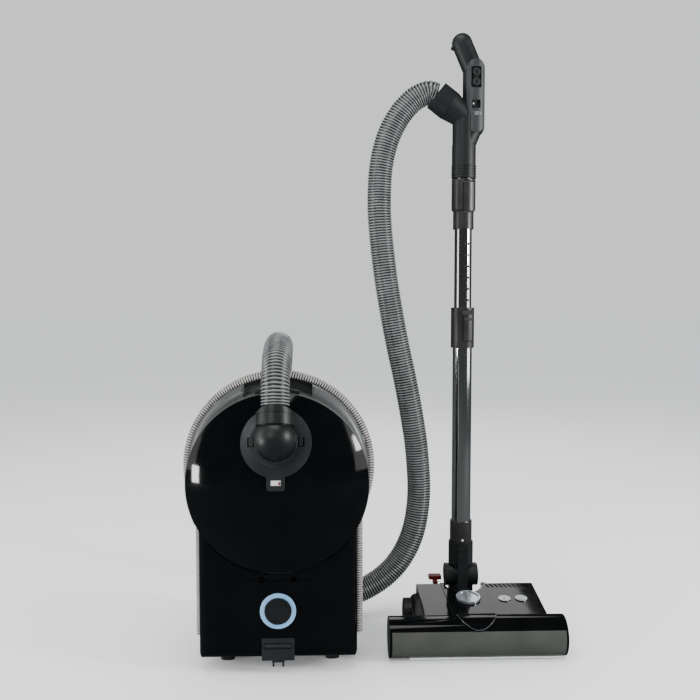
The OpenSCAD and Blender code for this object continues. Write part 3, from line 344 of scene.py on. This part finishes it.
def on_slope(x, y, lift):
    """A matrix that lays a piece on the sloping cover of the power head."""
    z = SLOPE_FOOT[1] + (y - SLOPE_FOOT[0]) * math.tan(SLOPE)
    tilted = Matrix.Translation(by_head(x, y, z)) @ Matrix.Rotation(SLOPE, 4, "X")
    return tilted @ Matrix.Translation((0, 0, lift * MM))


def lens(name, radius, rings, x, y, lift, body):
    piece = new_piece(name, "circle_add", vertices=48, radius=radius * MM, fill_type="NGON")
    bpy.ops.object.mode_set(mode="EDIT")
    bpy.ops.mesh.select_all(action="SELECT")
    bpy.ops.mesh.extrude_region_move(TRANSFORM_OT_translate={"value": (0, 0, 0.5 * MM)})
    for k in range(rings):
        bpy.ops.mesh.inset(thickness=radius / (rings + 1) * MM, depth=(0.5 if k % 2 else -0.5) * MM)
    bpy.ops.mesh.select_all(action="SELECT")
    bpy.ops.mesh.normals_make_consistent(inside=False)
    bpy.ops.object.mode_set(mode="OBJECT")
    return settle(piece, on_slope(x, y, lift), body, 25)


LAMP_Y = 80
for side, x in (("inner", 67), ("outer", 98)):
    lens(f"lamp_lens_{side}", 10.4, 5, x, LAMP_Y, 1.5, "power_head")

# %% [markdown]
# ### Marks and strips
# A pale felt strip seals the lower edge of the nose. The control panel carries a plain rating patch, the height
# knob points at three plain bars, and the outer tube's collar has a white guide dot.

# %% Marks and strips
block("felt_strip", (264, 2.6, 3.4), by_head(14, -23.6, 3.6), "power_head", 0.8)
for k, angle in enumerate((-48, -88, -128)):
    round_knob = Matrix.Rotation(math.radians(angle), 4, "Z") @ Matrix.Translation((0, 27.5 * MM, 0))
    bar_size = (1.2, 3.2 + k, 0.3)
    block(
        f"knob_bar_{k}", bar_size, (0, 0, 0), "power_head", 0.05,
        on_slope(0, LAMP_Y, 0.25) @ round_knob,
    )
guide_dot = new_piece("guide_dot", "cylinder_add", vertices=32, radius=2.1 * MM, depth=0.6 * MM)
bevelled(guide_dot, 0.15)
collar_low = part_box("lower_collar")[0]
dot_place = Vector((WAND.x, collar_low.y, collar_low.z + 0.006))
settle(guide_dot, Matrix.Translation(dot_place) @ Matrix.Rotation(math.pi / 2, 4, "X"), "lower_wand")
window_low, window_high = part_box("indicator_window")
window_place = Vector((window_high.x - 0.0022, window_low.y - 0.0001, (window_low.z + window_high.z) / 2))
block(
    "window_mark", (3.2, 0.5, 4.6), window_place, "lid", 0.1,
    Matrix.Rotation(math.radians(-11), 4, "X"),
)


def rating_patch(name, width, height, x, z, lift):
    """A thin printed patch that follows the panel's round front."""
    panel_low, panel_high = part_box("control_panel")
    middle = (panel_low.x + panel_high.x) / 2
    piece = new_piece(name, "grid_add", x_subdivisions=10, y_subdivisions=2, size=1)
    piece.scale = (width * MM, height * MM, 1)
    bpy.ops.object.transform_apply(location=False, rotation=False, scale=True)
    radius = 22.4 * MM + lift * MM
    for v in piece.data.vertices:
        across = v.co.x + x * MM
        v.co = Vector((middle + across, WAND.y - math.sqrt(radius ** 2 - across ** 2), v.co.y + z * MM))
    shell = piece.modifiers.new("thickness", "SOLIDIFY")
    shell.thickness = 0.2 * MM
    shell.offset = -1
    bpy.ops.object.modifier_apply(modifier=shell.name)
    bpy.ops.object.mode_set(mode="EDIT")
    bpy.ops.mesh.select_all(action="SELECT")
    bpy.ops.mesh.normals_make_consistent(inside=False)
    bpy.ops.object.mode_set(mode="OBJECT")
    return settle(piece, Matrix.Identity(4), "canister")


switch_low, switch_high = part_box("brush_switch")
mark_place = Vector((switch_low.x + 0.0022, switch_low.y - 0.0001, (switch_low.z + switch_high.z) / 2))
block("switch_mark", (2.2, 0.3, 2.8), mark_place, "brush_switch", 0.1)
PATCH_Z = 960.5
rating_patch("rating_patch", 13, 7, -1, PATCH_Z, 0.15)
rating_patch("rating_square", 4.2, 6, 8.4, PATCH_Z, 0.15)

# %% [markdown]
# ### Bead and bayonet ring
# A fine polished bead edges the tongue that the middle cover lays over the nose, and a thin ring marks where the
# elbow's foot turns in its collar.

# %% Bead and ring
NOSE_Y, NOSE_Z, NOSE_SKIN_R = -5, 35, 36.8
TONGUE_R, BEAD_R = 34, 0.8
sweep_angle = np.radians(np.linspace(-178, -2, 61))
ahead = 4 + TONGUE_R * np.sin(sweep_angle)
tongue_edge = np.stack([
    (WAND.x - CANISTER.x) / MM + TONGUE_R * np.cos(sweep_angle),
    NOSE_Y + ahead,
    NOSE_Z + np.sqrt(NOSE_SKIN_R ** 2 - ahead ** 2),
], axis=1)
round_wire = np.radians(np.arange(0, 360, 36))
wire_outline = BEAD_R * np.stack([np.cos(round_wire), np.sin(round_wire)], axis=1)


def bead_outline(k, height):
    return wire_outline


# The bead and the bayonet ring are drawn in a paler grey than the cover and collar round them: painted highlight on
# their round edges.
centre_bead = swept("centre_bead", tongue_edge, *carried_frames(tongue_edge), bead_outline, np.ones(len(tongue_edge)))
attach(centre_bead, "power_head")
PORT = (0, -104.393, 393)
FACING = math.atan2(PORT[1] - ELBOW[1], ELBOW[2] - PORT[2])
foot_ring = new_piece(
    "foot_ring", "torus_add", major_radius=33.3 * MM, minor_radius=0.7 * MM, major_segments=96, minor_segments=10,
)
on_port = Matrix.Translation(by_canister(*PORT)) @ Matrix.Rotation(FACING, 4, "X")
settle(foot_ring, on_port @ Matrix.Translation((0, 0, 3.2 * MM)), "elbow")

# %% [markdown]
# ### The rocker's thumb rings
# The rocker is a figure of eight: two round pads joined by a waist. Each pad gets a slim raised ring, so a thumb
# finds it in the dark.

# %% Rocker rings
rocker_low, rocker_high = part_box("power_rocker")
rocker_x = (rocker_low.x + rocker_high.x) / 2
for side, z in (("upper", rocker_high.z - 0.0074), ("lower", rocker_low.z + 0.0074)):
    ring = new_piece(
        "thumb_ring_" + side, "torus_add", major_radius=5.2 * MM, minor_radius=0.7 * MM, major_segments=36, minor_segments=10,
    )
    on_pad = Matrix.Translation((rocker_x, rocker_low.y + 0.0001, z)) @ Matrix.Rotation(math.pi / 2, 4, "X")
    settle(ring, on_pad, "power_rocker", 80)

# %% [markdown]
# ## Dust bag
# The bag is a filled paper pillow that is only seen when the lid is open. A rounded cylinder is subdivided and
# pushed about by soft folds, so that it looks filled rather than machined.

# %% Dust bag
bag_low, bag_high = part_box("dust_bag")
bag_size, bag_middle = bag_high - bag_low, (bag_high + bag_low) / 2
dust_bag = new_piece("filled_bag", "cylinder_add", vertices=72, radius=0.5, depth=1)
dust_bag.scale = (bag_size.x * 0.985, bag_size.z * 0.985, bag_size.y * 0.96)
bpy.ops.object.transform_apply(location=False, rotation=False, scale=True)
bevelled(dust_bag, 30, 6)
bpy.ops.object.mode_set(mode="EDIT")
bpy.ops.mesh.select_all(action="SELECT")
bpy.ops.mesh.subdivide(number_cuts=3)
bpy.ops.object.mode_set(mode="OBJECT")
folds = bpy.data.textures.new("folds", "CLOUDS")
folds.noise_scale = 0.06
push = dust_bag.modifiers.new("folds", "DISPLACE")
push.texture = folds
push.strength = -0.007
push.mid_level = 0
bpy.ops.object.modifier_apply(modifier=push.name)
settle(dust_bag, Matrix.Translation(bag_middle) @ Matrix.Rotation(math.pi / 2, 4, "X"), "canister", 60)
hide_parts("dust_bag")

# %% [markdown]
# ## Floor and light
# A plain pale disc runs out to where the air has the same tone, so there is no horizon behind the machine.
# Polished black plastic and chrome show only what they mirror, so the light comes from a few soft panels: two
# upright ones at the sides draw the bright lines on the tubes and the small blobs at the lid's edges.

# %% Floor
floor = new_piece("studio_floor", "circle_add", vertices=128, radius=30, fill_type="NGON")
floor.select_set(False)


def soft_panel(name, place, aim, width, height, power, roll=0):
    light = bpy.data.lights.new(name, "AREA")
    light.shape = "RECTANGLE"
    light.size, light.size_y = width, height
    light.energy = power
    panel = bpy.data.objects.new(name, light)
    bpy.context.scene.collection.objects.link(panel)
    panel.location = place
    facing = (Vector(aim) - Vector(place)).to_track_quat("-Z", "Y").to_matrix()
    panel.rotation_euler = (facing @ Matrix.Rotation(math.radians(roll), 3, "Z")).to_euler()


soft_panel("left_panel", (-2.0, -0.66, 0.2), (-0.15, 0, 0.35), 0.22, 0.36, 20)
soft_panel("right_panel", (1.75, -0.75, 0.95), (0, 0, 0.5), 0.22, 0.4, 20)
soft_panel("left_wing", (-2.2, -0.1, 1.1), (0.17, 0.15, 1.0), 1.2, 1.7, 18)
soft_panel("right_wing", (2.2, -0.45, 1.1), (0.17, 0.15, 1.0), 1.4, 1.7, 26)
soft_panel("top_panel", (-0.3, -0.5, 2.7), (0, 0, 0.4), 1.6, 1.0, 30)
soft_panel("front_panel", (-1.3, -2.6, 2.1), (0, 0, 0.4), 0.9, 0.9, 22)
soft_panel("back_panel", (0.22, 2.3, 1.95), (0.1, 0, 0.2), 1.4, 1.3, 17, 28)

# %% [markdown]
# ## Air round the set
# The air is pale where the camera and the matt surfaces look, and dark in mirrors, as in a studio whose dark
# ceiling and far walls show only in polished things. That keeps black plastic black and gives chrome its contrast.

# %% World
PALE_AIR, MIRRORED_AIR = 0.95, 0.05
world = bpy.data.worlds.new("studio_air")
bpy.context.scene.world = world
world.use_nodes = True
air = world.node_tree.nodes["Background"]
air.inputs["Color"].default_value = (0.97, 0.985, 1, 1)
ray = world.node_tree.nodes.new("ShaderNodeLightPath")
strength = world.node_tree.nodes.new("ShaderNodeMath")
strength.operation = "MULTIPLY_ADD"
strength.inputs[1].default_value = MIRRORED_AIR - PALE_AIR
strength.inputs[2].default_value = PALE_AIR
world.node_tree.links.new(ray.outputs["Is Glossy Ray"], strength.inputs[0])
world.node_tree.links.new(strength.outputs[0], air.inputs["Strength"])

# %% [markdown]
# ## Finishes
# Colours are written as the hex values a colour fan shows and turned to linear light by one function. One more
# function adds a shader node with its settings and links.

# %% Colour and node helpers
def hex_colour(code):
    parts = [int(code[i:i + 2], 16) / 255 for i in (1, 3, 5)]
    return tuple(c / 12.92 if c <= 0.04045 else ((c + 0.055) / 1.055) ** 2.4 for c in parts) + (1,)


def add(material, kind, inputs=(), **settings):
    tree = material.node_tree
    node = tree.nodes.new(kind)
    for key, value in settings.items():
        setattr(node, key, value)
    for key, value in dict(inputs).items():
        if isinstance(value, bpy.types.NodeSocket):
            tree.links.new(value, node.inputs[key])
        else:
            node.inputs[key].default_value = value
    return node


def bare(name):
    material = bpy.data.materials.new(name)
    material.use_nodes = True
    return material, material.node_tree.nodes["Principled BSDF"]


# %% [markdown]
# ## Moulded plastic
# Nearly every hard part is injection moulded: ABS for the polished covers, glass-filled polypropylene and soft
# grey ABS for the rest. The mould's surface sets the finish. A polished mould gives a mirror with faint haze from
# wiping, and a spark-eroded mould gives a fine even grain that blurs reflections. Both get slow changes of tone
# and roughness, because no moulding is quite even, and their edges are rounded in the shading.

# %% Moulded plastic
def moulded(name, dark, light, roughness, spread, grain_mm, depth_mm, ior=1.5, patch_mm=45, edge_mm=0.5, **sockets):
    material, surface = bare(name)
    place = add(material, "ShaderNodeTexCoord").outputs["Object"]
    grain = add(material, "ShaderNodeTexNoise", {"Vector": place, "Scale": 1000 / grain_mm, "Detail": 3.0})
    patch = add(material, "ShaderNodeTexNoise", {
        "Vector": place, "Scale": 1000 / patch_mm, "Detail": 5.0, "Roughness": 0.6,
    })
    tone = add(material, "ShaderNodeValToRGB", {"Fac": patch.outputs[0]})
    tone.color_ramp.elements[0].position, tone.color_ramp.elements[1].position = 0.3, 0.7
    tone.color_ramp.elements[0].color, tone.color_ramp.elements[1].color = hex_colour(dark), hex_colour(light)
    haze = add(material, "ShaderNodeMapRange", {
        "Value": patch.outputs[0], "From Min": 0.3, "From Max": 0.7,
        "To Min": roughness - spread, "To Max": roughness + spread,
    })
    edge = add(material, "ShaderNodeBevel", {"Radius": edge_mm * MM}, samples=4)
    relief = add(material, "ShaderNodeBump", {
        "Height": grain.outputs[0], "Distance": depth_mm * MM, "Strength": 1.0, "Normal": edge.outputs["Normal"],
    })
    links = material.node_tree.links
    links.new(tone.outputs["Color"], surface.inputs["Base Color"])
    links.new(haze.outputs["Result"], surface.inputs["Roughness"])
    links.new(relief.outputs["Normal"], surface.inputs["Normal"])
    surface.inputs["IOR"].default_value = ior
    for key, value in sockets.items():
        surface.inputs[key.replace("_", " ")].default_value = value
    return material


# Polished ABS: near-black, mirror-like, with wiping haze; its orange peel is drawn 9 mm wide and very shallow.
piano_black = moulded(
    "polished_black_abs", "#050607", "#08090a", 0.07, 0.03, 9, 0.003, 1.49, Specular_IOR_Level=0.2,
)
# Spark-eroded ABS: the grain is really 0.3 mm and is drawn at 0.9 mm so that it shows.
band_grey = moulded("spark_eroded_grey_abs", "#484a4a", "#525454", 0.34, 0.05, 0.9, 0.02)
elbow_grey = moulded("spark_eroded_slate_abs", "#131516", "#191c1d", 0.42, 0.05, 0.9, 0.03, Specular_IOR_Level=0.35)
trim_grey = moulded("fine_slate_abs", "#1b1e20", "#232728", 0.38, 0.05, 0.8, 0.025, Specular_IOR_Level=0.35)
grip_black = moulded(
    "grained_black_polypropylene", "#121516", "#191d1e", 0.48, 0.05, 1.0, 0.04,
    Specular_IOR_Level=0.35,
)
case_black = moulded(
    "grained_case_polypropylene", "#0c0d0e", "#121415", 0.5, 0.06, 1.1, 0.05, Specular_IOR_Level=0.35,
)
collar_grey = moulded("warm_grey_abs", "#1f201e", "#292a28", 0.33, 0.06, 0.8, 0.02, Specular_IOR_Level=0.4)
# A narrow polished bead, given a paler grey and a stronger specular than the flat black faces: a painted highlight
# along its round back.
painted_highlight_abs = moulded("polished_bead_abs", "#2c2f31", "#3b3f41", 0.16, 0.04, 6, 0.004, 1.5, Specular_IOR_Level=0.9)
panel_grey = moulded("panel_grey_abs", "#2c2f30", "#343838", 0.42, 0.04, 0.7, 0.02, Specular_IOR_Level=0.35)
nose_grey = moulded("satin_nose_abs", "#383a36", "#42443f", 0.4, 0.05, 0.8, 0.025, Specular_IOR_Level=0.35)
pedal_red = moulded("oxblood_abs", "#4a0f0d", "#611815", 0.25, 0.05, 2, 0.01)
white_abs = moulded("white_abs", "#bfbfbc", "#cfcfcc", 0.3, 0.04, 2, 0.005)
frame_print = moulded("grey_print", "#55585a", "#606365", 0.5, 0.03, 1, 0.005)
ring_blue = moulded(
    "frosted_blue_polycarbonate", "#6f9fca", "#86b2d8", 0.3, 0.04, 1.5, 0.01, 1.58,
    Subsurface_Weight=0.15,
)

# %% [markdown]
# ## Rubber, card, paper and felt
# Tyres, feet and grommet are rubber, which is darker and rougher and has a faint bloom. The bag is kraft paper
# with a card collar, and the filters are non-woven felt. All are drawn with the same grain helper, only rougher.

# %% Soft finishes
black_rubber = moulded("black_rubber", "#151617", "#202122", 0.68, 0.06, 1.4, 0.06, 1.52)
caster_rubber = moulded("grey_thermoplastic_rubber", "#7c8081", "#8f9394", 0.6, 0.06, 1.2, 0.05, 1.52)
kraft_paper = moulded("kraft_paper", "#c9b995", "#dccdae", 0.85, 0.05, 1.5, 0.12, 1.47, 20)
bag_card = moulded("pressed_card", "#b79f74", "#c9b48c", 0.8, 0.05, 1.2, 0.06, 1.47, 25)
felt = moulded("filter_felt", "#cdd0cf", "#e1e4e3", 0.9, 0.04, 0.9, 0.2, 1.45, 15, Sheen_Weight=0.3)
bristle = moulded("dark_red_bristle", "#4d1a14", "#7a3024", 0.75, 0.08, 1.1, 0.5, 1.5, 12)

# %% [markdown]
# ## Corrugated skins
# In the hose and the bumper the grooves are drawn dark as painted shade and the ribs pale as painted highlight. The
# height stored by the sweep picks the tone: dark in the groove, a mid colour on the flank, pale on the rib,
# and a soft random scuff shifts it a touch paler or darker in patches.

# %% Corrugated skins
def corrugated(name, groove, flank, painted_ridge_highlight, roughness, grain_mm, ior=1.51):
    material, surface = bare(name)
    place = add(material, "ShaderNodeTexCoord").outputs["Object"]
    height = add(material, "ShaderNodeAttribute", attribute_name="crest").outputs["Fac"]
    scuff = add(material, "ShaderNodeTexNoise", {"Vector": place, "Scale": 45.0, "Detail": 6.0, "Roughness": 0.65})
    worn = add(material, "ShaderNodeMapRange", {
        "Value": scuff.outputs[0], "From Min": 0.25, "From Max": 0.75, "To Min": -0.1, "To Max": 0.1,
    })
    level = add(material, "ShaderNodeMath", {0: height, 1: worn.outputs["Result"]}, operation="ADD")
    tone = add(material, "ShaderNodeValToRGB", {"Fac": level.outputs[0]})
    ramp = tone.color_ramp
    # The groove colour is painted shade and the ridge colour is painted highlight; the flank colour lies between
    # them.
    ramp.elements[0].position, ramp.elements[0].color = 0.12, hex_colour(groove)
    ramp.elements[1].position, ramp.elements[1].color = 1.0, hex_colour(painted_ridge_highlight)
    middle = ramp.elements.new(0.72)
    middle.color = hex_colour(flank)
    grain = add(material, "ShaderNodeTexNoise", {"Vector": place, "Scale": 1000 / grain_mm, "Detail": 2.0})
    relief = add(material, "ShaderNodeBump", {"Height": grain.outputs[0], "Distance": 0.02 * MM, "Strength": 1.0})
    material.node_tree.links.new(tone.outputs["Color"], surface.inputs["Base Color"])
    material.node_tree.links.new(relief.outputs["Normal"], surface.inputs["Normal"])
    surface.inputs["Roughness"].default_value = roughness
    surface.inputs["IOR"].default_value = ior
    return material


hose_skin = corrugated("blown_polyethylene", "#0b0c0c", "#3d4040", "#7d8080", 0.3, 1.2)
bumper_skin = corrugated("ribbed_vinyl", "#100f0f", "#757270", "#b5b1ac", 0.45, 1.2, 1.53)

# %% [markdown]
# ## Metals
# The tubes are chromed steel: a clean mirror with hairline polishing marks along the tube. The marks are really
# microns wide and are drawn 0.5 mm wide and 60 mm long. Motors, pins and the fan are plainer, zinc-bright steel.

# %% Metals
def metal(name, tone_hex, roughness, spread, across_mm, along_mm, depth_mm):
    material, surface = bare(name)
    place = add(material, "ShaderNodeTexCoord").outputs["Object"]
    across, along = 1000 / across_mm, 1000 / along_mm
    stretch = add(material, "ShaderNodeMapping", {"Vector": place, "Scale": (across, across, along)})
    lines = add(material, "ShaderNodeTexNoise", {"Vector": stretch.outputs[0], "Scale": 1.0, "Detail": 3.0})
    haze = add(material, "ShaderNodeMapRange", {
        "Value": lines.outputs[0], "From Min": 0.3, "From Max": 0.7,
        "To Min": roughness - spread, "To Max": roughness + spread,
    })
    relief = add(material, "ShaderNodeBump", {"Height": lines.outputs[0], "Distance": depth_mm * MM, "Strength": 1.0})
    links = material.node_tree.links
    links.new(haze.outputs["Result"], surface.inputs["Roughness"])
    links.new(relief.outputs["Normal"], surface.inputs["Normal"])
    surface.inputs["Base Color"].default_value = hex_colour(tone_hex)
    surface.inputs["Metallic"].default_value = 1.0
    return material


tube_chrome = metal("polished_chromed_steel", "#c4c5c2", 0.1, 0.04, 0.5, 60, 0.001)
bright_steel = metal("zinc_bright_steel", "#a9acad", 0.35, 0.08, 0.8, 8, 0.01)
silvered = metal("silvered_reflector", "#a3a9ac", 0.16, 0.05, 2.5, 2.5, 0.05)

# %% [markdown]
# ## Clear parts
# The height knob and the lamp lenses are clear polycarbonate over something silvery. A coat over a half-metallic
# base shows the glints without the noise and cost of real refraction.

# %% Clear parts
clear_knob = moulded(
    "clear_polycarbonate", "#6d7579", "#a4adb1", 0.14, 0.05, 3.5, 0.12, 1.58, 7, Metallic=0.45,
    Coat_Weight=0.6,
)
clear_lens = moulded(
    "ribbed_polycarbonate_lens", "#a8adaf", "#ced2d3", 0.12, 0.04, 2.2, 0.15, 1.58, 6, Metallic=0.35,
    Coat_Weight=0.7,
)
pale_floor, paint = bare("matt_white_floor")
# In mirror rays the floor is drawn dark grey instead of its own pale white, a painted dark reflection; its faint even
# glow follows the same tone.
mirrored = add(pale_floor, "ShaderNodeLightPath").outputs["Is Glossy Ray"]
floor_and_painted_reflection_tone = add(pale_floor, "ShaderNodeValToRGB", {"Fac": mirrored})
floor_and_painted_reflection_tone.color_ramp.elements[0].color = hex_colour("#f0f1f2")
floor_and_painted_reflection_tone.color_ramp.elements[1].color = hex_colour("#4a4c4e")
pale_floor.node_tree.links.new(floor_and_painted_reflection_tone.outputs["Color"], paint.inputs["Base Color"])
pale_floor.node_tree.links.new(floor_and_painted_reflection_tone.outputs["Color"], paint.inputs["Emission Color"])
paint.inputs["Emission Strength"].default_value = 0.12
paint.inputs["Roughness"].default_value = 0.9
paint.inputs["Specular IOR Level"].default_value = 0

# %% [markdown]
# ## Dressing the nodes
# Each finish is listed with the nodes and pieces that wear it. A CAD node keeps its mesh; only the material in
# its slots changes.

# %% Dress
DRESS = {
    piano_black: ["dust_lid", "rear_cover", "head_cover", "centre_cover", "nose_cover"],
    painted_highlight_abs: ["centre_bead", "foot_ring"],
    band_grey: ["top_frame"],
    elbow_grey: ["hose_elbow", "hose_sleeve", "switch_button"],
    trim_grey: [
        "elbow_collar", "elbow_clip_left", "elbow_clip_right", "lid_latch", "rewind_lever",
        "caster_fork_left", "caster_fork_right",
    ],
    grip_black: ["handle_shell", "brush_switch", "neck", "neck_yoke", "neck_lever", "power_rocker"],
    case_black: ["base_shell", "head_base", "carry_handle", "motor_housing", "cable_reel"],
    collar_grey: ["upper_collar", "handle_button", "telescope_sleeve", "telescope_slider", "lower_collar"],
    panel_grey: ["control_panel", "thumb_ring_upper", "thumb_ring_lower"],
    nose_grey: ["nose_front_shell"],
    pedal_red: ["release_pedal"],
    white_abs: ["indicator_window", "switch_mark", "guide_dot"],
    frame_print: ["rating_patch", "knob_bar_0", "knob_bar_1", "knob_bar_2", "rating_square"],
    ring_blue: ["light_ring"],
    black_rubber: ["wheel_left", "wheel_right", "stand_feet", "cord_grommet", "drive_belt", "head_wheels"],
    caster_rubber: ["caster_wheel_left", "caster_wheel_right"],
    kraft_paper: ["dust_bag", "filled_bag"],
    bag_card: ["bag_collar"],
    felt: ["motor_filter", "exhaust_filter", "felt_strip"],
    bristle: ["brush_roller", "window_mark"],
    hose_skin: ["hose", "hose_front", "hose_long"],
    bumper_skin: ["bumper_band", "bumper_ribs"],
    tube_chrome: ["upper_tube", "lower_tube"],
    bright_steel: ["lid_hinge_pin", "fan_motor", "impeller", "head_motor"],
    silvered: ["head_lights"],
    clear_knob: ["height_knob"],
    clear_lens: ["lamp_lens_inner", "lamp_lens_outer"],
    pale_floor: ["studio_floor"],
}
for material, wearers in DRESS.items():
    for name in wearers:
        piece = bpy.data.objects[name]
        if piece.material_slots:
            for slot in piece.material_slots:
                slot.material = material
        else:
            piece.data.materials.append(material)
undressed = set(nodes) - {name for wearers in DRESS.values() for name in wearers}
print("nodes without a finish:", sorted(undressed))
